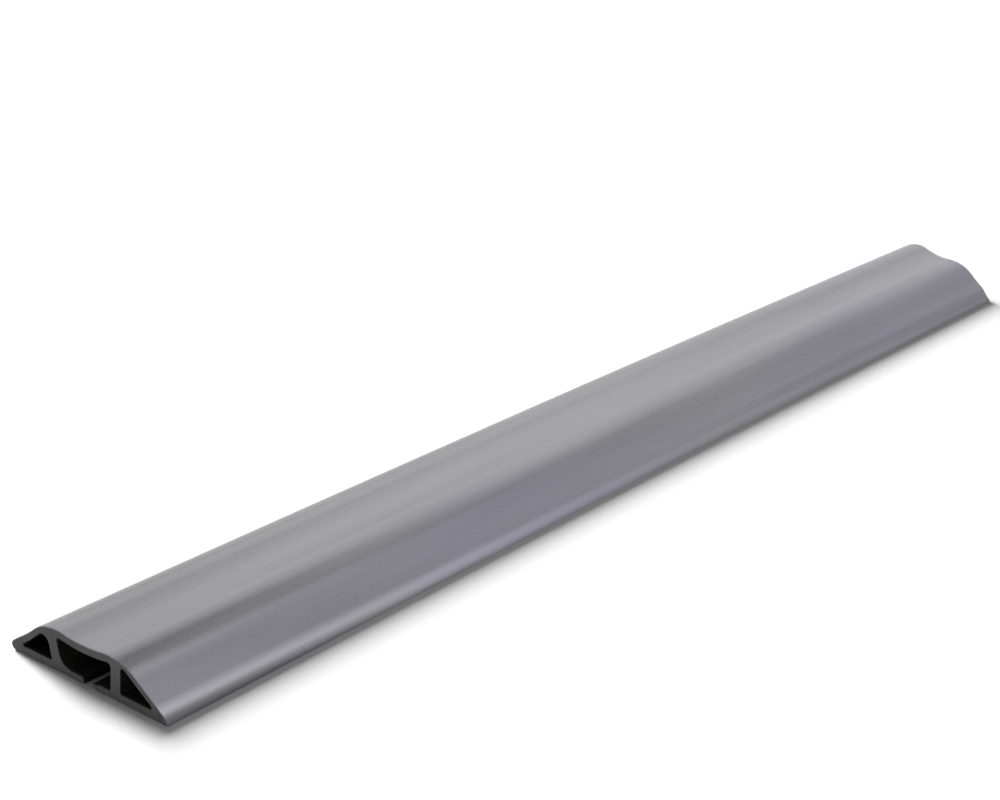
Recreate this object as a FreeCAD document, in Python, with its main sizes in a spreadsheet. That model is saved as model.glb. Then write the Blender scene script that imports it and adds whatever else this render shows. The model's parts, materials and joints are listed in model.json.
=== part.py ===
import FreeCAD, Part

import math
import os
import sys

import Sketcher
from FreeCAD import Vector

# A one-piece soft floor cable cover, in millimetres. Its section is symmetric: two rounded crests with a
# shallow saddle between them, straight flanks falling to thin rounded edges, a cable channel in the middle
# whose floor is slit along its length, and a hollow chamber under each flank.
#
# The strip runs along Y, X is across it and Z is up. The origin is on the floor, under the middle of the
# strip. The section is parted where the soft material bends: at both ends of the channel's roof, and at the
# root of each floor lip. Each parting plane ends on its hinge line, at the face that stays closed, so the
# two sides of it move apart as the joint opens and no two pieces overlap at any angle.

SIZES = {
    "strip_length": 500.0,
    "strip_width": 70.0,
    # outside of the section
    "crest_height": 15.1,
    "crest_spacing": 23.2,
    "crest_radius": 20.0,
    "edge_radius": 1.5,
    # walls
    "roof_wall": 2.95,
    "flank_wall": 2.4,
    "web_wall": 4.5,
    "floor_wall": 3.2,
    "lip_wall": 2.3,
    # hinge lines, left to right
    "roof_hinge_spacing": 17.0,
    "lip_hinge_spacing": 18.0,
    # cable channel, and the slit in its floor
    "channel_top_width": 24.4,
    "channel_floor_width": 21.8,
    "channel_top_radius": 1.1,
    "channel_floor_radius": 2.0,
    "slit_width": 3.8,
    "lip_tip_radius": 1.0,
    "lip_clearance": 0.4,
    "flat_base_spacing": 28.0,
    # side chambers
    "chamber_top_radius": 1.7,
    "chamber_corner_radius": 0.6,
}

# Formulas that more than one sketch uses.
SADDLE_RADIUS = (
    "Sizes.crest_radius * Sizes.roof_hinge_spacing"
    " / (Sizes.crest_spacing - Sizes.roof_hinge_spacing)"
)
HINGE_RISE = (
    "sqrt(Sizes.crest_radius ^ 2"
    " - ((Sizes.crest_spacing - Sizes.roof_hinge_spacing) / 2) ^ 2)"
)
CREST_CENTRE_HEIGHT = "Sizes.crest_height - Sizes.crest_radius"
SADDLE_CENTRE_HEIGHT = (
    f"{CREST_CENTRE_HEIGHT} + {HINGE_RISE} * Sizes.crest_spacing"
    " / (Sizes.crest_spacing - Sizes.roof_hinge_spacing)"
)

START, END, CENTRE = 1, 2, 3
ORIGIN_POINT = (-1, 1)
X_AXIS, Z_AXIS = -1, -2
COORDINATE_TOLERANCE = 1e-4

doc = FreeCAD.newDocument("floor_cable_cover")
sheet = doc.addObject("Spreadsheet::Sheet", "Sizes")
for row, (alias, value) in enumerate(SIZES.items(), start=1):
    sheet.set(f"A{row}", alias)
    sheet.set(f"B{row}", str(value))
    sheet.setAlias(f"B{row}", alias)
doc.recompute()


class Section:
    """An outline across the strip: a sketch on its body's XZ plane, with x to the right and z up."""

    def __init__(self, body, name):
        plane = next(f for f in body.Origin.OriginFeatures if f.Role == "XZ_Plane")
        self.sketch = body.newObject("Sketcher::SketchObject", name)
        self.sketch.AttachmentSupport = [(plane, "")]
        self.sketch.MapMode = "FlatFace"

    def line(self, start, end):
        segment = Part.LineSegment(Vector(*start, 0), Vector(*end, 0))
        return self.sketch.addGeometry(segment, False)

    def arc(self, centre, start, end):
        """An arc that turns anticlockwise about centre, from start to end."""
        middle = Vector(*centre, 0)
        first = Vector(*start, 0) - middle
        last = Vector(*end, 0) - middle
        circle = Part.Circle(middle, Vector(0, 0, 1), first.Length)
        angles = [math.atan2(spoke.y, spoke.x) for spoke in (first, last)]
        return self.sketch.addGeometry(Part.ArcOfCircle(circle, *angles), False)

    def relate(self, kind, *references):
        self.sketch.addConstraint(Sketcher.Constraint(kind, *references))

    def bind(self, kind, references, drawn, formula):
        """Adds a dimension that is drawn at its value, and from then on follows the sheet."""
        index = self.sketch.addConstraint(Sketcher.Constraint(kind, *references, drawn))
        self.sketch.setExpression(f"Constraints[{index}]", formula)

    def bind_x(self, shape, point, formula):
        drawn = self.sketch.getPoint(shape, point).x
        self.bind("DistanceX", (*ORIGIN_POINT, shape, point), drawn, formula)

    def bind_z(self, shape, point, formula):
        drawn = self.sketch.getPoint(shape, point).y
        self.bind("DistanceY", (*ORIGIN_POINT, shape, point), drawn, formula)

    def bind_radius(self, arc, formula):
        self.bind("Radius", (arc,), self.sketch.Geometry[arc].Radius, formula)

    def bind_wall(self, shape, point, line, alias):
        """Keeps a point one wall's thickness away from a line."""
        self.bind("Distance", (shape, point, line), getattr(sheet, alias), f"Sizes.{alias}")


def new_body(label):
    body = doc.addObject("PartDesign::Body", label)
    body.Label = label
    return body


def pad_along_strip(body, section):
    """Extrudes a section along the whole strip, half to each side of the XZ plane."""
    pad = body.newObject("PartDesign::Pad", f"{body.Name}_pad")
    pad.Profile = section.sketch
    pad.SideType = "Symmetric"
    pad.setExpression("Length", "Sizes.strip_length")
    doc.recompute()
    return pad


def round_long_edges(body, name, corners, radius_alias):
    """Rounds the edges that run along the strip through the (x, z) corners."""
    base = body.Tip
    edges = []
    for number, edge in enumerate(base.Shape.Edges, start=1):
        middle = edge.CenterOfMass
        along_strip = abs(edge.tangentAt(edge.FirstParameter).y) > 1 - COORDINATE_TOLERANCE
        on_corner = any(
            math.hypot(middle.x - x, middle.z - z) < COORDINATE_TOLERANCE for x, z in corners
        )
        if along_strip and on_corner:
            edges.append(f"Edge{number}")
    if len(edges) != len(corners):
        sys.exit(f"{body.Label}: {name} found {len(edges)} of {len(corners)} edges")
    fillet = body.newObject("PartDesign::Fillet", f"{body.Name}_{name}")
    fillet.Base = (base, edges)
    fillet.setExpression("Radius", f"Sizes.{radius_alias}")
    doc.recompute()


def mirrored(source, label):
    """The same piece on the other side of the strip's middle plane."""
    mirror = doc.addObject("Part::Mirroring", label)
    mirror.Label = label
    mirror.Source = source
    mirror.Base = Vector(0, 0, 0)
    mirror.Normal = Vector(1, 0, 0)
    return mirror


# Points of the section, right of the middle. The sketches start from them and are held by the sheet.
half_width = sheet.strip_width / 2
crest = (sheet.crest_spacing / 2, sheet.crest_height - sheet.crest_radius)
edge = (half_width - sheet.edge_radius, sheet.edge_radius)
hinge_x = sheet.roof_hinge_spacing / 2
hinge_inset = crest[0] - hinge_x
hinge_rise = math.sqrt(sheet.crest_radius**2 - hinge_inset**2)
roof_hinge = (hinge_x, crest[1] + hinge_rise)
saddle_radius = sheet.crest_radius * hinge_x / hinge_inset
saddle = (0.0, crest[1] + hinge_rise * crest[0] / hinge_inset)
ceiling_radius = saddle_radius + sheet.roof_wall


def ceiling_point(x):
    """The point of the channel's curved ceiling at x."""
    return (x, saddle[1] - math.sqrt(ceiling_radius**2 - x**2))


def flank_normal():
    """The unit vector that points out of the flank, which touches both the crest and edge circles."""
    step = Vector(edge[0] - crest[0], edge[1] - crest[1], 0)
    lean = math.acos((sheet.crest_radius - sheet.edge_radius) / step.Length)
    direction = math.atan2(step.y, step.x) + lean
    return (math.cos(direction), math.sin(direction))


def on_circle(centre, radius, direction):
    return (centre[0] + radius * direction[0], centre[1] + radius * direction[1])


def crossing(first_point, first_direction, second_point, second_direction):
    """Where two lines cross."""
    across = first_direction[0] * second_direction[1] - first_direction[1] * second_direction[0]
    gap = (second_point[0] - first_point[0], second_point[1] - first_point[1])
    along = (gap[0] * second_direction[1] - gap[1] * second_direction[0]) / across
    return (
        first_point[0] + along * first_direction[0],
        first_point[1] + along * first_direction[1],
    )


lip_top = sheet.lip_clearance + sheet.lip_wall
lip_hinge = (sheet.lip_hinge_spacing / 2, lip_top)
channel_top = ceiling_point(sheet.channel_top_width / 2)
channel_corner = (sheet.channel_floor_width / 2, lip_top)


def channel_roof():
    """The wall over the cable channel: a slab of even thickness, curved down in the middle."""
    body = new_body("channel_roof")
    section = Section(body, "channel_roof_section")
    left_hinge = (-roof_hinge[0], roof_hinge[1])
    right_foot = ceiling_point(hinge_x)
    left_foot = ceiling_point(-hinge_x)
    top = section.arc(saddle, left_hinge, roof_hinge)
    ceiling = section.arc(saddle, left_foot, right_foot)
    right_end = section.line(right_foot, roof_hinge)
    left_end = section.line(left_foot, left_hinge)

    section.relate("Coincident", top, START, left_end, END)
    section.relate("Coincident", top, END, right_end, END)
    section.relate("Coincident", ceiling, START, left_end, START)
    section.relate("Coincident", ceiling, END, right_end, START)
    section.relate("Coincident", top, CENTRE, ceiling, CENTRE)
    section.relate("PointOnObject", top, CENTRE, Z_AXIS)
    section.relate("Vertical", right_end)
    section.relate("Vertical", left_end)
    section.bind_z(top, CENTRE, SADDLE_CENTRE_HEIGHT)
    section.bind_radius(top, SADDLE_RADIUS)
    section.bind_radius(ceiling, f"{SADDLE_RADIUS} + Sizes.roof_wall")
    section.bind_x(top, END, "Sizes.roof_hinge_spacing / 2")
    section.bind_x(top, START, "-Sizes.roof_hinge_spacing / 2")
    pad_along_strip(body, section)
    return body


def ramp_outline(section):
    """The outside of the right ramp: crest, flank, thin edge, base, lip root, channel side and parting."""
    normal = flank_normal()
    flank_top = on_circle(crest, sheet.crest_radius, normal)
    flank_foot = on_circle(edge, sheet.edge_radius, normal)
    base_outer = (edge[0], 0.0)
    base_inner = (sheet.flat_base_spacing / 2, 0.0)
    lip_root_bottom = (lip_hinge[0], sheet.lip_clearance)
    parting_foot = ceiling_point(hinge_x)

    crest_arc = section.arc(crest, flank_top, roof_hinge)
    flank = section.line(flank_top, flank_foot)
    edge_arc = section.arc(edge, base_outer, flank_foot)
    base = section.line(base_outer, base_inner)
    rise = section.line(base_inner, lip_root_bottom)
    lip_root = section.line(lip_root_bottom, lip_hinge)
    channel_floor = section.line(lip_hinge, channel_corner)
    channel_side = section.line(channel_corner, channel_top)
    ceiling = section.arc(saddle, parting_foot, channel_top)
    parting = section.line(parting_foot, roof_hinge)

    section.relate("Tangent", crest_arc, START, flank, START)
    section.relate("Tangent", flank, END, edge_arc, END)
    section.relate("Tangent", edge_arc, START, base, START)
    section.relate("Coincident", base, END, rise, START)
    section.relate("Coincident", rise, END, lip_root, START)
    section.relate("Coincident", lip_root, END, channel_floor, START)
    section.relate("Coincident", channel_floor, END, channel_side, START)
    section.relate("Coincident", channel_side, END, ceiling, END)
    section.relate("Coincident", ceiling, START, parting, START)
    section.relate("Coincident", parting, END, crest_arc, END)
    section.relate("PointOnObject", base, START, X_AXIS)
    section.relate("PointOnObject", base, END, X_AXIS)
    section.relate("PointOnObject", ceiling, CENTRE, Z_AXIS)
    section.relate("Vertical", lip_root)
    section.relate("Vertical", parting)
    section.relate("Horizontal", channel_floor)

    section.bind_radius(crest_arc, "Sizes.crest_radius")
    section.bind_x(crest_arc, CENTRE, "Sizes.crest_spacing / 2")
    section.bind_z(crest_arc, CENTRE, CREST_CENTRE_HEIGHT)
    section.bind_radius(edge_arc, "Sizes.edge_radius")
    section.bind_x(edge_arc, CENTRE, "Sizes.strip_width / 2 - Sizes.edge_radius")
    section.bind_x(base, END, "Sizes.flat_base_spacing / 2")
    section.bind_x(lip_root, START, "Sizes.lip_hinge_spacing / 2")
    section.bind_z(lip_root, START, "Sizes.lip_clearance")
    section.bind_z(lip_root, END, "Sizes.lip_clearance + Sizes.lip_wall")
    section.bind_x(channel_floor, END, "Sizes.channel_floor_width / 2")
    section.bind_x(channel_side, END, "Sizes.channel_top_width / 2")
    section.bind_z(ceiling, CENTRE, SADDLE_CENTRE_HEIGHT)
    section.bind_radius(ceiling, f"{SADDLE_RADIUS} + Sizes.roof_wall")
    section.bind_x(parting, START, "Sizes.roof_hinge_spacing / 2")
    return flank, channel_side


def chamber_corners():
    """The sharp corners of the side chamber: inner and outer on its floor, and its top."""
    normal = flank_normal()
    flank_point = on_circle(crest, sheet.crest_radius - sheet.flank_wall, normal)
    flank_direction = (normal[1], -normal[0])
    side = Vector(channel_top[0] - channel_corner[0], channel_top[1] - channel_corner[1], 0)
    side.normalize()
    web_point = on_circle(channel_corner, sheet.web_wall, (side.y, -side.x))
    web_direction = (side.x, side.y)
    floor_point = (0.0, sheet.floor_wall)
    level = (1.0, 0.0)
    inner = crossing(web_point, web_direction, floor_point, level)
    outer = crossing(flank_point, flank_direction, floor_point, level)
    top = crossing(web_point, web_direction, flank_point, flank_direction)
    return inner, outer, top


def ramp_chamber(section, flank, channel_side):
    """The hollow under the flank: a triangle whose sides keep even walls to the flank and the channel."""
    inner, outer, top = chamber_corners()
    chamber_floor = section.line(inner, outer)
    under_flank = section.line(outer, top)
    beside_web = section.line(top, inner)
    section.relate("Coincident", chamber_floor, END, under_flank, START)
    section.relate("Coincident", under_flank, END, beside_web, START)
    section.relate("Coincident", beside_web, END, chamber_floor, START)
    section.relate("Horizontal", chamber_floor)
    section.relate("Parallel", under_flank, flank)
    section.relate("Parallel", beside_web, channel_side)
    section.bind_z(chamber_floor, START, "Sizes.floor_wall")
    section.bind_wall(under_flank, END, flank, "flank_wall")
    section.bind_wall(beside_web, START, channel_side, "web_wall")


def right_ramp():
    """The flank, its hollow chamber, the web beside the channel and the part of the base that stands."""
    body = new_body("right_ramp")
    section = Section(body, "right_ramp_section")
    flank, channel_side = ramp_outline(section)
    ramp_chamber(section, flank, channel_side)
    pad_along_strip(body, section)
    inner, outer, top = chamber_corners()
    round_long_edges(body, "channel_top_round", [channel_top], "channel_top_radius")
    round_long_edges(body, "channel_floor_round", [channel_corner], "channel_floor_radius")
    round_long_edges(body, "chamber_top_round", [top], "chamber_top_radius")
    round_long_edges(body, "chamber_corner_round", [inner, outer], "chamber_corner_radius")
    return body


def right_floor_lip():
    """The flap that closes the channel's floor, from its root beside the web to the slit."""
    body = new_body("right_floor_lip")
    section = Section(body, "right_floor_lip_section")
    root_x = lip_hinge[0]
    tip_x = sheet.slit_width / 2
    bottom_z = sheet.lip_clearance
    underside = section.line((tip_x, bottom_z), (root_x, bottom_z))
    root = section.line((root_x, bottom_z), (root_x, lip_top))
    upper_side = section.line((root_x, lip_top), (tip_x, lip_top))
    tip = section.line((tip_x, lip_top), (tip_x, bottom_z))
    section.relate("Coincident", underside, END, root, START)
    section.relate("Coincident", root, END, upper_side, START)
    section.relate("Coincident", upper_side, END, tip, START)
    section.relate("Coincident", tip, END, underside, START)
    section.relate("Horizontal", underside)
    section.relate("Horizontal", upper_side)
    section.relate("Vertical", root)
    section.relate("Vertical", tip)
    section.bind_x(underside, START, "Sizes.slit_width / 2")
    section.bind_x(underside, END, "Sizes.lip_hinge_spacing / 2")
    section.bind_z(root, START, "Sizes.lip_clearance")
    section.bind_z(root, END, "Sizes.lip_clearance + Sizes.lip_wall")
    pad_along_strip(body, section)
    round_long_edges(body, "tip_round", [(tip_x, lip_top), (tip_x, bottom_z)], "lip_tip_radius")
    return body


def write_parts(pieces):
    """Checks the whole document, then writes one file per piece."""
    for item in doc.Objects:
        if "Invalid" in item.State or "Error" in item.State:
            sys.exit(f"{item.Label} is {item.State}")
    for piece in pieces:
        if piece.Shape.isNull() or not piece.Shape.isValid() or len(piece.Shape.Solids) != 1:
            sys.exit(f"{piece.Label} is not one valid solid")
    os.makedirs("parts", exist_ok=True)
    for piece in pieces:
        piece.Shape.exportStep(f"parts/{piece.Label}.step")
        box = piece.Shape.BoundBox
        print(
            f"{piece.Label}: {piece.Shape.Volume:.0f} mm3,"
            f" x {box.XMin:.2f} to {box.XMax:.2f}, z {box.ZMin:.2f} to {box.ZMax:.2f}"
        )
    print(f"roof hinge line: x {roof_hinge[0]:.4f}, z {roof_hinge[1]:.4f}")
    print(f"lip hinge line: x {lip_hinge[0]:.4f}, z {lip_hinge[1]:.4f}")


ramp = right_ramp()
lip = right_floor_lip()
all_pieces = [
    channel_roof(),
    ramp,
    mirrored(ramp, "left_ramp"),
    lip,
    mirrored(lip, "left_floor_lip"),
]
doc.recompute()
write_parts(all_pieces)
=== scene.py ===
"""Looks for the floor cable cover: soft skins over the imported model, a pale studio and the camera.

Lengths are in metres. The strip lies along Y, X is across it and Z is up. The CAD solids are rigid
stretches of one soft extrusion, so each is hidden, and skins that bend where the real material bends
stand for them. The cover has two skins that meet in the middle of the channel's roof, and each of the
two floor lips has its own.
"""

import json
import math
from collections import namedtuple

import bmesh
import bpy
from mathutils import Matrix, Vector, geometry, noise
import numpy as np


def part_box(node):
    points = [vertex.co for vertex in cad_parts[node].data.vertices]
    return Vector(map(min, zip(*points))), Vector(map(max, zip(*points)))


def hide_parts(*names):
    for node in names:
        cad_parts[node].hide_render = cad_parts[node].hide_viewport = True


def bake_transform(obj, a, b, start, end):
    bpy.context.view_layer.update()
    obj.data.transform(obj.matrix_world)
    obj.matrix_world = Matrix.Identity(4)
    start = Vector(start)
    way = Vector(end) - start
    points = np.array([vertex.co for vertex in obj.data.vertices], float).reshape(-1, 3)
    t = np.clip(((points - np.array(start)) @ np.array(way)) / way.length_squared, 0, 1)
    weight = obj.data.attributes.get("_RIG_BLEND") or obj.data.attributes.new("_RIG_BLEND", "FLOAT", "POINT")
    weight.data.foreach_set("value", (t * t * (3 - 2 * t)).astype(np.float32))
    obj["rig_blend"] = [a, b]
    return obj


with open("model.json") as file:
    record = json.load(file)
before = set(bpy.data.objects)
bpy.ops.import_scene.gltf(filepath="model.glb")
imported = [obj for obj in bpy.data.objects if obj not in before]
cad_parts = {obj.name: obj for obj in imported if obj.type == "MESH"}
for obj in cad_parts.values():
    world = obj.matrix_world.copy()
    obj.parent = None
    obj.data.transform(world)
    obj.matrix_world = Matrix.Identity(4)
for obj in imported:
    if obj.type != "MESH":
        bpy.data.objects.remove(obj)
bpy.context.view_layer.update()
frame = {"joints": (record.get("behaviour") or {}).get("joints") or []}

MM = 0.001
joints = {joint["name"]: joint for joint in frame["joints"]}


# ---------------------------------------------------------------- sizes of the section, right of the middle

ramp_low, ramp_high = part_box("right_ramp")
roof_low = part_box("channel_roof")[0]
lip_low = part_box("right_floor_lip")[0]
roof_hinge = Vector(joints["right_side_spread"]["pos_m"]).xz
lip_hinge = Vector(joints["right_lip_lift"]["pos_m"]).xz

CREST_RADIUS = 20.0 * MM
FLANK_WALL = 2.4 * MM
WEB_WALL = 4.5 * MM
FLOOR_WALL = 3.2 * MM
CHANNEL_TOP_X = 12.2 * MM
CHANNEL_FLOOR_X = 10.9 * MM
FLAT_BASE_X = 14.0 * MM
CHANNEL_TOP_RADIUS = 1.1 * MM
CHAMBER_CORNER_RADIUS = 0.6 * MM
LIP_ROOT_SLOPE = 2.2 * MM
END_BEVEL = 0.22 * MM
SAME_PLACE = 1e-7

Half = namedtuple(
    "Half",
    "toe_x toe_radius toe_centre_z chamber_top_radius channel_floor_radius "
    "lip_root_z lip_tip lip_upper_radius lip_lower_radius",
)
RIGHT = Half(
    toe_x=35.2 * MM,
    toe_radius=4.0 * MM,
    toe_centre_z=0.2 * MM,
    chamber_top_radius=1.0 * MM,
    channel_floor_radius=0.7 * MM,
    lip_root_z=2.7 * MM,
    lip_tip=Vector((2.6 * MM, 2.0 * MM)),
    lip_upper_radius=0.6 * MM,
    lip_lower_radius=0.9 * MM,
)
LEFT = Half(
    toe_x=35.0 * MM,
    toe_radius=1.8 * MM,
    toe_centre_z=1.8 * MM,
    chamber_top_radius=2.7 * MM,
    channel_floor_radius=5.0 * MM,
    lip_root_z=3.35 * MM,
    lip_tip=Vector((1.0 * MM, 2.7 * MM)),
    lip_upper_radius=0.9 * MM,
    lip_lower_radius=0.3 * MM,
)

crest_z = ramp_high.z - CREST_RADIUS
hinge_inset = math.sqrt(CREST_RADIUS**2 - (roof_hinge.y - crest_z) ** 2)
crest_centre = Vector((roof_hinge.x + hinge_inset, crest_z))
saddle_radius = CREST_RADIUS * roof_hinge.x / hinge_inset
saddle_centre = Vector((0.0, crest_z + (roof_hinge.y - crest_z) * crest_centre.x / hinge_inset))
ceiling_radius = saddle_centre.y - roof_low.z


# ---------------------------------------------------------------- outlines across the strip

def arc(centre, radius, start, end, steps):
    """Points on a circle from one angle to another, in degrees, both ends included."""
    points = []
    for step in range(steps + 1):
        angle = math.radians(start + (end - start) * step / steps)
        points.append(centre + radius * Vector((math.cos(angle), math.sin(angle))))
    return points


def line(start, end, steps):
    """Points on a straight line, both ends included."""
    return [start.lerp(end, step / steps) for step in range(steps + 1)]


def rounded(before, corner, after, radius, steps=6):
    """Points round a corner, from the side that leads to it to the side that leaves it."""
    arrive = (corner - before).normalized()
    leave = (after - corner).normalized()
    half_turn = arrive.angle_signed(leave) / 2
    setback = radius * abs(math.tan(half_turn))
    start = corner - arrive * setback
    inward = Vector((-arrive.y, arrive.x)) if arrive.cross(leave) > 0 else Vector((arrive.y, -arrive.x))
    centre = start + inward * radius
    first = start - centre
    turn = math.copysign(2 * abs(half_turn), arrive.cross(leave))
    points = []
    for step in range(steps + 1):
        angle = turn * step / steps
        cosine, sine = math.cos(angle), math.sin(angle)
        points.append(centre + Vector((
            first.x * cosine - first.y * sine,
            first.x * sine + first.y * cosine,
        )))
    return points


def joined(*runs):
    """One list of points from several runs, without the points that two runs share."""
    points = []
    for run in runs:
        for point in run:
            if not points or (point - points[-1]).length > SAME_PLACE:
                points.append(point)
    if (points[0] - points[-1]).length < SAME_PLACE:
        points.pop()
    return points


def ceiling_point(x):
    """The point of the channel's ceiling at a distance from the middle."""
    return Vector((x, saddle_centre.y - math.sqrt(ceiling_radius**2 - x**2)))


def toe_centre(half):
    """The centre of the arc at the flank's foot."""
    return Vector((half.toe_x - half.toe_radius, half.toe_centre_z))


def flank_lean(half):
    """The angle from level, in degrees, of the direction that points out of the flank."""
    step = toe_centre(half) - crest_centre
    lean = math.acos((CREST_RADIUS - half.toe_radius) / step.length)
    return math.degrees(math.atan2(step.y, step.x) + lean)


def half_section(half):
    """The outside of a half, anticlockwise from the bottom of the seam in the roof's middle."""
    flank_angle = flank_lean(half)
    toe = toe_centre(half)
    toe_start = -math.degrees(math.asin(toe.y / half.toe_radius))
    hinge_angle = math.degrees(math.atan2(roof_hinge.y - crest_centre.y, roof_hinge.x - crest_centre.x))
    ceiling_end = ceiling_point(CHANNEL_TOP_X)
    floor_corner = Vector((CHANNEL_FLOOR_X, lip_hinge.y))
    lip_root = Vector((lip_hinge.x, lip_low.z))
    lip_root_top = Vector((lip_hinge.x, half.lip_root_z))
    base_start = Vector((FLAT_BASE_X, 0.0))

    before_ceiling_end = ceiling_point(CHANNEL_TOP_X * 0.98)
    top_round = rounded(before_ceiling_end, ceiling_end, floor_corner, CHANNEL_TOP_RADIUS)
    floor_round = rounded(ceiling_end, floor_corner, lip_hinge, half.channel_floor_radius, 10)
    floor_round = [point for point in floor_round if point.x > lip_hinge.x]
    ceiling_run = [ceiling_point(top_round[0].x * step / 30) for step in range(30)]
    toe_arc = arc(toe, half.toe_radius, toe_start, flank_angle, 16)
    crest_arc = arc(crest_centre, CREST_RADIUS, flank_angle, hinge_angle, 34)
    saddle_start = math.degrees(math.atan2(roof_hinge.y - saddle_centre.y, roof_hinge.x - saddle_centre.x))
    saddle_arc = arc(saddle_centre, saddle_radius, saddle_start, -90, 30)
    return joined(
        ceiling_run,
        top_round,
        line(top_round[-1], floor_round[0], 12),
        floor_round,
        line(floor_round[-1], lip_root_top, 2),
        line(lip_root_top, lip_root, 3),
        line(lip_root, base_start, 6),
        line(base_start, toe_arc[0], 20),
        toe_arc,
        line(toe_arc[-1], crest_arc[0], 26),
        crest_arc,
        saddle_arc,
        line(saddle_arc[-1], ceiling_point(0.0), 3),
    )


def crossing(a, a_direction, b, b_direction):
    """Where two lines cross."""
    along = (b - a).cross(b_direction) / a_direction.cross(b_direction)
    return a + a_direction * along


def chamber_section(half):
    """The hollow under the flank, clockwise: a triangle with rounded corners."""
    angle = math.radians(flank_lean(half))
    normal = Vector((math.cos(angle), math.sin(angle)))
    down_flank = Vector((normal.y, -normal.x))
    under_flank = crest_centre + normal * (CREST_RADIUS - FLANK_WALL)
    side = (ceiling_point(CHANNEL_TOP_X) - Vector((CHANNEL_FLOOR_X, lip_hinge.y))).normalized()
    beside_web = Vector((CHANNEL_FLOOR_X, lip_hinge.y)) + Vector((side.y, -side.x)) * WEB_WALL
    level = Vector((1.0, 0.0))
    floor = Vector((0.0, FLOOR_WALL))
    inner = crossing(beside_web, side, floor, level)
    outer = crossing(under_flank, down_flank, floor, level)
    top = crossing(beside_web, side, under_flank, down_flank)
    inner_round = rounded(outer, inner, top, CHAMBER_CORNER_RADIUS, 4)
    top_round = rounded(inner, top, outer, half.chamber_top_radius, 8)
    outer_round = rounded(top, outer, inner, CHAMBER_CORNER_RADIUS, 4)
    return joined(
        line(outer_round[-1], inner_round[0], 10),
        inner_round,
        line(inner_round[-1], top_round[0], 8),
        top_round,
        line(top_round[-1], outer_round[0], 12),
        outer_round,
    )


def lip_section(half):
    """A floor lip of the right-hand sense, anticlockwise from the top of its root."""
    root_top = Vector((lip_hinge.x, half.lip_root_z))
    root_slope_end = Vector((lip_hinge.x - LIP_ROOT_SLOPE, lip_hinge.y))
    root_bottom = Vector((lip_hinge.x, lip_low.z))
    tip_bottom = Vector((half.lip_tip.x, lip_low.z))
    upper_round = rounded(root_slope_end, half.lip_tip, tip_bottom, half.lip_upper_radius)
    lower_round = rounded(half.lip_tip, tip_bottom, root_bottom, half.lip_lower_radius)
    return joined(
        line(root_top, root_slope_end, 5),
        line(root_slope_end, upper_round[0], 16),
        upper_round,
        line(upper_round[-1], lower_round[0], 2),
        lower_round,
        line(lower_round[-1], root_bottom, 21),
        line(root_bottom, root_top, 3),
    )


def mirrored(outline):
    """The same outline on the left, turned round so that its sense is kept."""
    return [Vector((-point.x, point.y)) for point in reversed(outline)]


# ---------------------------------------------------------------- how the soft strip departs from straight

NEAR_CUT = math.tan(math.radians(5.0))
FAR_CUT = math.tan(math.radians(-7.5))
FAR_HOOK = 8.5 * MM
HOOK_START_X = 14 * MM
HOOK_SPAN = 30 * MM
BOW = -2.0 * MM
RIPPLE = 0.10 * MM
RIPPLE_WIDTH = 22 * MM
RIPPLES_ALONG = 4.2
RIPPLE_SEED = 3.7
FLANK_SLOPE = 0.78
FLANK_START_X = 18 * MM
FLANK_SPAN = 16 * MM
LEFT_FLANK_SAG = 0.5 * MM
RIGHT_FLANK_SAG = 0.4 * MM
TOE_START_X = 30 * MM
TOE_SPAN = 5 * MM
FAR_TOE_THINNING = 0.5
FAR_PART_START = 0.4
LEAST_TOP = 2 * MM
ROWS = 120
# The share of a half turn left out at each end of the rows' cosine spacing.
SKIPPED_TURN = 0.04


def clamped(value):
    """The value, kept within 0 and 1."""
    return max(0.0, min(1.0, value))


def smooth(value):
    """A soft step from 0 to 1."""
    value = clamped(value)
    return value * value * (3 - 2 * value)


def ripple(x, share):
    """A slow unevenness of the top, in -1 to 1, longer along the strip than across it."""
    return noise.noise(Vector((x / RIPPLE_WIDTH, share * RIPPLES_ALONG, RIPPLE_SEED)))


def sag(x, far):
    """How far a flank is pressed in at x. The right flank is only pressed in on the far part."""
    down_flank = clamped((abs(x) - FLANK_START_X) / FLANK_SPAN)
    depth = LEFT_FLANK_SAG if x < 0 else RIGHT_FLANK_SAG * far
    return depth * math.sin(math.pi * down_flank) ** 2


def strip_point(x, z, share):
    """Where a section's point lies in the strip, share of the way from the near end to the far end."""
    near_y = ramp_low.y + x * NEAR_CUT
    far_y = ramp_high.y + x * FAR_CUT + FAR_HOOK * smooth((HOOK_START_X - x) / HOOK_SPAN)
    bowed_x = x + BOW * math.sin(math.pi * share)
    top_here = max(LEAST_TOP, min(ramp_high.z, (ramp_high.x - abs(x)) * FLANK_SLOPE))
    upper_part = smooth(z / top_here * 1.5 - 0.5)
    far = smooth((share - FAR_PART_START) / (1 - FAR_PART_START))
    thinning = FAR_TOE_THINNING * smooth((x - TOE_START_X) / TOE_SPAN) * far
    lift = upper_part * (RIPPLE * ripple(x, share) - sag(x, far))
    return Vector((bowed_x, near_y + (far_y - near_y) * share, z * (1 - thinning) + lift))


# ---------------------------------------------------------------- meshes

OUTSIDE, SAWN, HOLLOW = 0, 1, 2
ON_LINE = 0.01 * MM
RIM_X = 34.2 * MM
RIM_Z = 1.0 * MM
CREASE_ANGLE = math.radians(32)
NEARLY_STRAIGHT = 0.05
ROOF_GRID_START = 2.0 * MM
ROOF_GRID_COLUMNS = 18
ROOF_GRID_COLUMN_WIDTH = 0.8 * MM
ROOF_GRID_LAYERS = 4
ROOF_GRID_LAYER_DEPTH = 0.6 * MM


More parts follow.
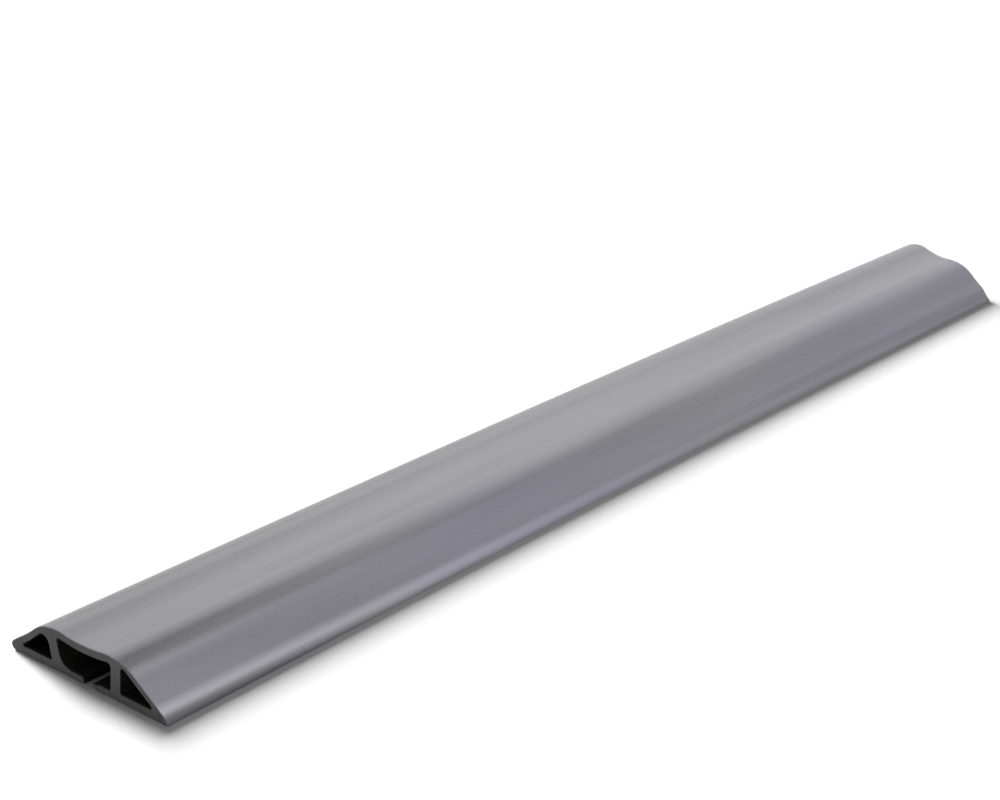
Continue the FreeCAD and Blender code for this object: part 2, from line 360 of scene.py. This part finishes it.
def is_hollow(point):
    """True on the walls of the channel, where a section's point faces the space for the cables."""
    in_channel = abs(point.x) < CHANNEL_TOP_X + ON_LINE and point.y > lip_hinge.y - ON_LINE
    return in_channel and point.y < ceiling_point(abs(point.x)).y + ON_LINE


def inset(outline, amount, seams):
    """The outline moved inward by the bevel, except across the upright seams, which stay where they are."""
    moved = []
    count = len(outline)
    for index, point in enumerate(outline):
        before, after = outline[index - 1], outline[(index + 1) % count]
        sides = []
        for start, end in ((before, point), (point, after)):
            run = end - start
            normal = Vector((-run.y, run.x)).normalized()
            on_seam = any(max(abs(start.x - x), abs(end.x - x)) < SAME_PLACE for x in seams)
            sides.append((normal, 0.0 if on_seam else amount))
        (first, first_amount), (second, second_amount) = sides
        turn = first.cross(second)
        if abs(turn) < NEARLY_STRAIGHT:
            shift = (first + second).normalized() * max(first_amount, second_amount)
        else:
            shift = Vector((
                (first_amount * second.y - second_amount * first.y) / turn,
                (second_amount * first.x - first_amount * second.x) / turn,
            ))
        moved.append(point + shift)
    return moved


def row_shares():
    """Places of the rows along the strip, closer together near its ends."""
    turns = [SKIPPED_TURN + (1 - 2 * SKIPPED_TURN) * step / ROWS for step in range(ROWS + 1)]
    inner = [0.5 - 0.5 * math.cos(math.pi * turn) for turn in turns]
    first, last = inner[0], inner[-1]
    edge = END_BEVEL / (ramp_high.y - ramp_low.y)
    return [edge + (share - first) / (last - first) * (1 - 2 * edge) for share in inner]


def roof_top(x):
    """The height of the outside over the channel, x from the middle."""
    if x < roof_hinge.x:
        return saddle_centre.y - math.sqrt(saddle_radius**2 - x**2)
    return crest_centre.y + math.sqrt(CREST_RADIUS**2 - (x - crest_centre.x) ** 2)


def roof_end_points(side):
    """Points inside the roof's wall near the hinge, so that the sawn end can bend there without creasing."""
    points = []
    for column in range(ROOF_GRID_COLUMNS):
        x = ROOF_GRID_START + ROOF_GRID_COLUMN_WIDTH * column
        for layer in range(1, ROOF_GRID_LAYERS + 1):
            points.append(Vector((side * x, roof_top(x) - ROOF_GRID_LAYER_DEPTH * layer)))
    return points


def end_triangles(loops, inner_points):
    """Triangles of a flat end, as indices into the loops' points and then the inner ones.

    The loops after the first are holes.
    """
    points = [point for loop in loops for point in loop] + inner_points
    edges = []
    start = 0
    for loop in loops:
        edges += [(start + index, start + (index + 1) % len(loop)) for index in range(len(loop))]
        start += len(loop)
    faces, sources = geometry.delaunay_2d_cdt(points, edges, [], 1, 1e-9)[2:4]
    triangles = [[sources[corner][0] for corner in face] for face in faces]
    holes = range(len(loops[0]), start)
    return [triangle for triangle in triangles if not all(corner in holes for corner in triangle)]


def run_ring(mesh, loop, slim):
    """Rows of vertices for one loop, from end to end, marked where they are worn and where the rim is."""
    wear = mesh.verts.layers.float["wear"]
    rim = mesh.verts.layers.float["rim"]
    ring = [[mesh.verts.new(strip_point(point.x, point.y, 0.0)) for point in slim]]
    for share in row_shares():
        ring.append([mesh.verts.new(strip_point(point.x, point.y, share)) for point in loop])
    ring.append([mesh.verts.new(strip_point(point.x, point.y, 1.0)) for point in slim])
    for row in ring:
        # The rim mask marks the lowest millimetre of the outer edges; the outside material paints bounce
        # light there.
        for vertex, point in zip(row, loop):
            vertex[rim] = float(abs(point.x) > RIM_X and point.y < RIM_Z)
    for row in (ring[0], ring[1], ring[-2], ring[-1]):
        for vertex in row:
            vertex[wear] = 1.0
    return ring


def extruded(name, loops, seams, inner_points=(), all_hollow=False):
    """A closed mesh from section loops run along the strip, with small bevels round its sawn ends."""
    mesh = bmesh.new()
    mesh.verts.layers.float.new("wear")
    mesh.verts.layers.float.new("rim")
    slims = [inset(loop, END_BEVEL, seams) for loop in loops]
    rings = [run_ring(mesh, loop, slim) for loop, slim in zip(loops, slims)]

    for number, (loop, ring) in enumerate(zip(loops, rings)):
        for lower, upper in zip(ring, ring[1:]):
            for index in range(len(loop)):
                following = (index + 1) % len(loop)
                face = mesh.faces.new((lower[index], lower[following], upper[following], upper[index]))
                middle = (loop[index] + loop[following]) / 2
                # Faces in the channel and chambers, and all of each lip, take the hollow material, whose
                # near-black colour is painted shade.
                hollow = all_hollow or number > 0 or is_hollow(middle)
                face.material_index = HOLLOW if hollow else OUTSIDE
                face.smooth = True

    triangles = end_triangles(slims, list(inner_points))
    for end in (0, -1):
        cap = [vertex for ring in rings for vertex in ring[end]]
        cap += [mesh.verts.new(strip_point(point.x, point.y, float(-end))) for point in inner_points]
        for triangle in triangles:
            face = mesh.faces.new([cap[index] for index in triangle])
            # The sawn material's dark colour is painted shade.
            face.material_index = SAWN

    bmesh.ops.recalc_face_normals(mesh, faces=mesh.faces)
    data = bpy.data.meshes.new(name)
    mesh.to_mesh(data)
    mesh.free()
    for material in (outside_material, sawn_material, hollow_material):
        data.materials.append(material)
    piece = bpy.data.objects.new(name, data)
    bpy.context.scene.collection.objects.link(piece)
    data.set_sharp_from_angle(angle=CREASE_ANGLE)
    return piece


# ---------------------------------------------------------------- materials

class Nodes:
    """Short calls for building a material's nodes."""

    def __init__(self, name):
        self.material = bpy.data.materials.new(name)
        self.material.use_nodes = True
        self.tree = self.material.node_tree
        self.shader = self.tree.nodes["Principled BSDF"]

    def add(self, kind, **values):
        node = self.tree.nodes.new(kind)
        for key, value in values.items():
            setattr(node, key, value)
        return node

    def link(self, source, target):
        self.tree.links.new(source, target)

    def place(self, scale):
        """The object's own coordinates, scaled."""
        source = self.add("ShaderNodeTexCoord")
        mapping = self.add("ShaderNodeMapping")
        mapping.inputs["Scale"].default_value = scale
        self.link(source.outputs["Object"], mapping.inputs["Vector"])
        return mapping.outputs["Vector"]

    def noise(self, scale, detail):
        """A cloudy value about 0.5, the finer along an axis the larger its scale."""
        texture = self.add("ShaderNodeTexNoise")
        texture.inputs["Scale"].default_value = 1.0
        texture.inputs["Detail"].default_value = detail
        self.link(self.place(scale), texture.inputs["Vector"])
        return texture.outputs["Fac"]

    def axis(self, name):
        """One of the object's own coordinates."""
        split = self.add("ShaderNodeSeparateXYZ")
        self.link(self.place((1, 1, 1)), split.inputs["Vector"])
        return split.outputs[name]

    def spread(self, source, low, high, to_low, to_high):
        """Maps a range of a value onto another, clamped."""
        node = self.add("ShaderNodeMapRange")
        node.inputs["From Min"].default_value = low
        node.inputs["From Max"].default_value = high
        node.inputs["To Min"].default_value = to_low
        node.inputs["To Max"].default_value = to_high
        self.link(source, node.inputs["Value"])
        return node.outputs["Result"]

    def maths(self, operation, first, second):
        """A sum or a product of two values, each a number or a socket."""
        node = self.add("ShaderNodeMath", operation=operation)
        for socket, value in zip(node.inputs, (first, second)):
            if isinstance(value, (int, float)):
                socket.default_value = value
            else:
                self.link(value, socket)
        return node.outputs["Value"]

    def total(self, first, *others):
        """The sum of several values."""
        for other in others:
            first = self.maths("ADD", first, other)
        return first

    def band(self, source, low, low_full, high_full, high):
        """1 within a range of a value, with a fade to 0 on each side."""
        rise = self.spread(source, low, low_full, 0.0, 1.0)
        fall = self.spread(source, high_full, high, 1.0, 0.0)
        return self.maths("MULTIPLY", rise, fall)

    def mix(self, factor, first, second):
        """A colour between two."""
        node = self.add("ShaderNodeMix", data_type="RGBA")
        first_socket, second_socket = [socket for socket in node.inputs if socket.type == "RGBA"]
        first_socket.default_value = (*first, 1.0)
        second_socket.default_value = (*second, 1.0)
        self.link(factor, node.inputs["Factor"])
        return next(socket for socket in node.outputs if socket.type == "RGBA")

    def scaled_colour(self, colour, factor):
        node = self.add("ShaderNodeVectorMath", operation="SCALE")
        self.link(colour, node.inputs[0])
        self.link(factor, node.inputs["Scale"])
        return node.outputs["Vector"]

    def bump(self, height, distance, under=None):
        """Raises the surface by a height between 0 and 1 times a distance, over another bump if given."""
        node = self.add("ShaderNodeBump")
        node.inputs["Distance"].default_value = distance
        self.link(height, node.inputs["Height"])
        if under is not None:
            self.link(under, node.inputs["Normal"])
        return node.outputs["Normal"]

    def attribute(self, name):
        return self.add("ShaderNodeAttribute", attribute_name=name).outputs["Fac"]

    def finish(self, colour, roughness, normal, specular=0.5):
        self.link(colour, self.shader.inputs["Base Color"])
        self.link(roughness, self.shader.inputs["Roughness"])
        self.link(normal, self.shader.inputs["Normal"])
        self.shader.inputs["Specular IOR Level"].default_value = specular
        return self.material


NEUTRAL_GREY = (0.172, 0.1705, 0.179)
VIOLET_GREY = (0.166, 0.161, 0.197)
# The sawn ends are the same plastic; their dark colours are painted shade.
SAWN_SHADE_DARK = (0.043, 0.043, 0.044)
SAWN_SHADE_LIGHT = (0.056, 0.056, 0.057)
# The hollows are the same plastic; their near-black colours are painted shade.
HOLLOW_SHADE_DARK = (0.0015, 0.0015, 0.0013)
HOLLOW_SHADE_LIGHT = (0.0035, 0.0035, 0.0030)
FLOOR_DARK = (0.86, 0.86, 0.86)
FLOOR_LIGHT = (0.88, 0.88, 0.88)


def painted_light_and_shade(nodes, across, along):
    """Painted light and shade for the outside's lightness, as a list of values.

    They are painted shade in a band below the right crest near the near end, a painted highlight strip along
    the right toe near the near end that turns to faint painted shade at the far end, painted light on the
    right flank's far half, painted light on the saddle's left slope near the near end with faint painted
    shade right of the middle there, painted bounce light on the rim towards the far end, painted shade
    along the outermost right edge and painted shade that makes the left a little darker than the right.
    """
    crest = nodes.band(across, 13.4 * MM, 16.2 * MM, 19.2 * MM, 21.6 * MM)
    toe = nodes.band(across, 30.6 * MM, 32.5 * MM, 33.3 * MM, 34.6 * MM)
    flank = nodes.spread(across, 18 * MM, 22 * MM, 0.0, 1.0)
    saddle = nodes.maths(
        "MULTIPLY",
        nodes.spread(across, -12.5 * MM, -8.5 * MM, 0.0, 1.0),
        nodes.spread(across, -3.5 * MM, 2.5 * MM, 1.0, -0.3),
    )
    # Painted shade along the outermost right edge, next to the floor.
    painted_shade_edge = nodes.spread(across, 33.6 * MM, 35.0 * MM, 0.0, -0.40)
    shaded_left = nodes.spread(across, -16 * MM, 12 * MM, -0.07, 0.02)
    # Painted shade below the crest, a painted highlight on the toe, painted light on the flank, painted
    # light and shade about the saddle, painted bounce light on the rim, painted shade at the edge and on the
    # left.
    return [
        nodes.maths("MULTIPLY", crest, nodes.spread(along, -240 * MM, 50 * MM, -0.55, 0.0)),
        nodes.maths("MULTIPLY", toe, nodes.spread(along, -180 * MM, 250 * MM, 0.78, -0.10)),
        nodes.maths("MULTIPLY", flank, nodes.spread(along, -200 * MM, 50 * MM, 0.0, 0.14)),
        nodes.maths("MULTIPLY", saddle, nodes.spread(along, -200 * MM, -50 * MM, 0.17, 0.0)),
        nodes.maths("MULTIPLY", nodes.attribute("rim"), nodes.spread(along, -100 * MM, 150 * MM, 0.0, 1.0)),
        painted_shade_edge,
        shaded_left,
    ]


def make_outside_material():
    """Smooth extruded soft plastic: streaks, fine draw lines, a violet cast, and painted light and shade."""
    nodes = Nodes("soft_grey_plastic_outside")
    across, along = nodes.axis("X"), nodes.axis("Y")
    patches = nodes.noise((18, 5, 18), detail=2)
    clouds = nodes.noise((120, 12, 120), detail=2)
    streaks = nodes.noise((240, 6, 240), detail=2)
    draw_lines = nodes.noise((2600, 14, 2600), detail=2)
    grain = nodes.noise((3800, 3800, 3800), detail=2)
    wear = nodes.attribute("wear")

    cast = nodes.total(
        nodes.spread(patches, 0.35, 0.65, -0.3, 0.5),
        nodes.spread(along, ramp_low.y, ramp_high.y, -0.1, 0.6),
        nodes.spread(across, 12 * MM, 24 * MM, 0.0, 0.35),
    )
    tint = nodes.mix(nodes.spread(cast, 0.0, 1.0, 0.0, 1.0), NEUTRAL_GREY, VIOLET_GREY)
    light = nodes.total(
        nodes.spread(streaks, 0.3, 0.7, 0.98, 1.02),
        nodes.spread(grain, 0.3, 0.7, -0.02, 0.02),
        nodes.spread(clouds, 0.3, 0.7, -0.08, 0.08),
        # Painted light and shade, by place across and along the strip.
        *painted_light_and_shade(nodes, across, along),
    )
    roughness = nodes.total(
        nodes.spread(streaks, 0.3, 0.7, 0.26, 0.29),
        nodes.spread(grain, 0.3, 0.7, -0.02, 0.03),
        nodes.maths("MULTIPLY", wear, 0.12),
    )
    waves = nodes.bump(streaks, 0.03 * MM)
    lines = nodes.bump(draw_lines, 0.001 * MM, under=waves)
    skin = nodes.bump(grain, 0.006 * MM, under=lines)
    return nodes.finish(nodes.scaled_colour(tint, light), roughness, skin)


def make_sawn_material():
    """The sawn end faces, dull as a blade leaves them, with a dark colour that is painted shade."""
    nodes = Nodes("soft_grey_plastic_sawn")
    marks = nodes.noise((700, 700, 120), detail=4)
    grain = nodes.noise((5200, 5200, 5200), detail=2)
    colour = nodes.mix(nodes.spread(marks, 0.35, 0.65, 0.0, 1.0), SAWN_SHADE_DARK, SAWN_SHADE_LIGHT)
    roughness = nodes.spread(grain, 0.3, 0.7, 0.62, 0.82)
    cut = nodes.bump(marks, 0.06 * MM)
    return nodes.finish(colour, roughness, nodes.bump(grain, 0.02 * MM, under=cut), specular=0.35)


def make_hollow_material():
    """The walls inside the channel and chambers and the lips: dull, with an olive cast, and near black as
    painted shade.
    """
    nodes = Nodes("soft_grey_plastic_hollow_painted_shade")
    streaks = nodes.noise((420, 9, 420), detail=3)
    grain = nodes.noise((3800, 3800, 3800), detail=2)
    colour = nodes.mix(nodes.spread(streaks, 0.35, 0.65, 0.0, 1.0), HOLLOW_SHADE_DARK, HOLLOW_SHADE_LIGHT)
    roughness = nodes.spread(grain, 0.3, 0.7, 0.50, 0.64)
    drawn = nodes.bump(streaks, 0.05 * MM)
    return nodes.finish(colour, roughness, nodes.bump(grain, 0.01 * MM, under=drawn), specular=0.12)


def make_floor_material():
    """A plain, nearly white studio floor."""
    nodes = Nodes("studio_floor")
    cloud = nodes.noise((2, 2, 2), detail=2)
    colour = nodes.mix(nodes.spread(cloud, 0.3, 0.7, 0.0, 1.0), FLOOR_DARK, FLOOR_LIGHT)
    grain = nodes.noise((900, 900, 900), detail=1)
    roughness = nodes.spread(grain, 0.3, 0.7, 0.85, 0.95)
    return nodes.finish(colour, roughness, nodes.bump(grain, 0.01 * MM), specular=0.1)


outside_material = make_outside_material()
sawn_material = make_sawn_material()
hollow_material = make_hollow_material()


# ---------------------------------------------------------------- the four skins

ROOF_BEND = 2.5 * MM
BEND_TILT = math.radians(-20)
LIP_BEND = 3.0 * MM


def bend_roof(piece, body, side):
    """Bends a half of the cover about the end of the channel's roof; side is 1 right, -1 left."""
    hinge = Vector((side * roof_hinge.x, 0.0, roof_hinge.y))
    reach = ROOF_BEND * Vector((side * math.cos(BEND_TILT), 0.0, math.sin(BEND_TILT)))
    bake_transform(piece, "roof", body, start=hinge - reach, end=hinge + reach)


def bend_lip(piece, side_body, flap_body, side):
    """Bends a floor lip next to its root."""
    root = Vector((side * lip_hinge.x, 0.0, lip_hinge.y))
    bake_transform(piece, side_body, flap_body, start=root, end=root - Vector((side * LIP_BEND, 0.0, 0.0)))


right_loops = [half_section(RIGHT), chamber_section(RIGHT)]
left_loops = [mirrored(half_section(LEFT)), mirrored(chamber_section(LEFT))]
right_half = extruded("right_cover_half", right_loops, (0.0, lip_hinge.x), roof_end_points(1))
left_half = extruded("left_cover_half", left_loops, (0.0, -lip_hinge.x), roof_end_points(-1))
# The lips take the hollow material all over, so their near-black colour is painted shade.
right_lip = extruded("right_lip_skin", [lip_section(RIGHT)], (lip_hinge.x,), all_hollow=True)
left_lip = extruded("left_lip_skin", [mirrored(lip_section(LEFT))], (-lip_hinge.x,), all_hollow=True)

bend_roof(right_half, "right_side", 1)
bend_roof(left_half, "left_side", -1)
bend_lip(right_lip, "right_side", "right_flap", 1)
bend_lip(left_lip, "left_side", "left_flap", -1)
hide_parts("right_ramp", "channel_roof")
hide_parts("left_ramp", "channel_roof")
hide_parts("right_floor_lip")
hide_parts("left_floor_lip")


# ---------------------------------------------------------------- studio

BAND_SLANT = 0.65
BAND_START = 0.20
BAND_LEFT_END = -0.62
# Each level is a height up the band and its brightness there.
BAND_LEVELS = (
    (0.00, 0.36),
    (0.42, 0.44),
    (0.52, 0.58),
    (0.62, 0.90),
    (0.69, 1.00),
    (0.76, 0.80),
    (0.82, 0.55),
    (0.88, 0.22),
    (1.00, 0.02),
)
MIRRORED_LEVEL = 2.7
EVEN_LEVEL = 0.18
BACKDROP_LEVEL = 1.0
FLOOR_HALF_WIDTH = 12.0
FLOOR_GAP = 0.05 * MM
CAMERA_LENS = 60.56
CAMERA_AZIMUTH = 42.54
CAMERA_ELEVATION = 22.94
CAMERA_PLACE = (0.38059, -0.48248, 0.27404)
FLANK_BOX_PLACE = (0.50, -0.45, 0.045)
FLANK_BOX_AIM = (0.0, -0.20, 0.0)


def add_floor():
    """A wide flat floor, a hair below the strip."""
    mesh = bmesh.new()
    bmesh.ops.create_grid(mesh, x_segments=1, y_segments=1, size=FLOOR_HALF_WIDTH)
    data = bpy.data.meshes.new("studio_floor")
    mesh.to_mesh(data)
    mesh.free()
    floor = bpy.data.objects.new("studio_floor", data)
    floor.location.z = -FLOOR_GAP
    data.materials.append(make_floor_material())
    bpy.context.scene.collection.objects.link(floor)
    return floor


def direction(azimuth, elevation):
    """A unit vector from an azimuth, in degrees from +X to +Y, and an elevation."""
    turn, climb = math.radians(azimuth), math.radians(elevation)
    return Vector((math.cos(turn) * math.cos(climb), math.sin(turn) * math.cos(climb), math.sin(climb)))


def add_lamp(name, light, place, aim, lit):
    """Puts a light in the studio. It lights only the given pieces, and it isn't seen or mirrored."""
    lamp = bpy.data.objects.new(name, light)
    lamp.location = place
    lamp.rotation_mode = "QUATERNION"
    lamp.rotation_quaternion = (aim - place).to_track_quat("-Z", "Y")
    lamp.visible_camera = False
    lamp.visible_glossy = False
    receivers = bpy.data.collections.new(name + "_receivers")
    for piece in lit:
        receivers.objects.link(piece)
    lamp.light_linking.receiver_collection = receivers
    bpy.context.scene.collection.objects.link(lamp)


def add_sun(name, toward, width, strength, lit):
    """A far lamp. Its width, in degrees, sets how soft its shadows are."""
    light = bpy.data.lights.new(name, "SUN")
    light.energy = strength
    light.angle = math.radians(width)
    add_lamp(name, light, toward * 3.0, Vector((0.0, 0.0, 0.0)), lit)


def add_softbox(name, place, aim, size, power, lit):
    """A square lamp close to the strip."""
    light = bpy.data.lights.new(name, "AREA")
    light.shape = "SQUARE"
    light.size = size
    light.energy = power
    add_lamp(name, light, Vector(place), Vector(aim), lit)


def add_world():
    """A surround that reflections see as one slanting bright band, and that lights evenly and dimly."""
    world = bpy.data.worlds.new("studio")
    bpy.context.scene.world = world
    world.use_nodes = True
    tree = world.node_tree
    place = tree.nodes.new("ShaderNodeTexCoord")
    split = tree.nodes.new("ShaderNodeSeparateXYZ")
    leftmost = tree.nodes.new("ShaderNodeMath")
    slant = tree.nodes.new("ShaderNodeMath")
    lower = tree.nodes.new("ShaderNodeMath")
    ramp = tree.nodes.new("ShaderNodeValToRGB")
    strength = tree.nodes.new("ShaderNodeMath")
    rays = tree.nodes.new("ShaderNodeLightPath")
    choice = tree.nodes.new("ShaderNodeMix")
    backdrop = tree.nodes.new("ShaderNodeMix")
    leftmost.operation = "MAXIMUM"
    leftmost.inputs[1].default_value = BAND_LEFT_END
    slant.operation = "MULTIPLY_ADD"
    slant.inputs[1].default_value = -BAND_SLANT
    lower.operation = "SUBTRACT"
    lower.inputs[1].default_value = BAND_START
    strength.operation = "MULTIPLY"
    strength.inputs[1].default_value = MIRRORED_LEVEL
    choice.inputs["A"].default_value = EVEN_LEVEL
    backdrop.inputs["B"].default_value = BACKDROP_LEVEL
    tree.links.new(place.outputs["Generated"], split.inputs["Vector"])
    tree.links.new(split.outputs["X"], leftmost.inputs[0])
    tree.links.new(leftmost.outputs["Value"], slant.inputs[0])
    tree.links.new(split.outputs["Z"], slant.inputs[2])
    tree.links.new(slant.outputs["Value"], lower.inputs[0])
    tree.links.new(lower.outputs["Value"], ramp.inputs["Fac"])
    tree.links.new(ramp.outputs["Color"], strength.inputs[0])
    tree.links.new(rays.outputs["Is Glossy Ray"], choice.inputs["Factor"])
    tree.links.new(strength.outputs["Value"], choice.inputs["B"])
    tree.links.new(rays.outputs["Is Camera Ray"], backdrop.inputs["Factor"])
    tree.links.new(choice.outputs["Result"], backdrop.inputs["A"])
    tree.links.new(backdrop.outputs["Result"], tree.nodes["Background"].inputs["Strength"])
    tree.nodes["Background"].inputs["Color"].default_value = (1.0, 1.0, 1.0, 1.0)
    for element, (height, level) in zip(ramp.color_ramp.elements, (BAND_LEVELS[0], BAND_LEVELS[-1])):
        element.position = height
        element.color = (level, level, level, 1.0)
    for height, level in BAND_LEVELS[1:-1]:
        ramp.color_ramp.elements.new(height).color = (level, level, level, 1.0)


def add_camera():
    """The scene's camera, above the near end and to the right."""
    camera = bpy.data.cameras.new("camera")
    camera.lens = CAMERA_LENS
    camera.sensor_width = 36.0
    azimuth, elevation = math.radians(CAMERA_AZIMUTH), math.radians(CAMERA_ELEVATION)
    back = Vector((
        math.sin(azimuth) * math.cos(elevation),
        -math.cos(azimuth) * math.cos(elevation),
        math.sin(elevation),
    ))
    viewer = bpy.data.objects.new("camera", camera)
    viewer.location = CAMERA_PLACE
    viewer.rotation_mode = "QUATERNION"
    viewer.rotation_quaternion = (-back).to_track_quat("-Z", "Y")
    bpy.context.scene.collection.objects.link(viewer)
    bpy.context.scene.camera = viewer


skins = (right_half, left_half, right_lip, left_lip)
floor = add_floor()
add_world()
add_sun("floor_light", direction(171.0, 30.0), 20.0, 6.6, [floor])
add_sun("top_light", direction(130.0, 70.0), 60.0, 2.4, skins)
add_softbox("flank_light", FLANK_BOX_PLACE, FLANK_BOX_AIM, 0.20, 2.4, skins)
add_camera()
bpy.context.scene.view_settings.view_transform = "Standard"
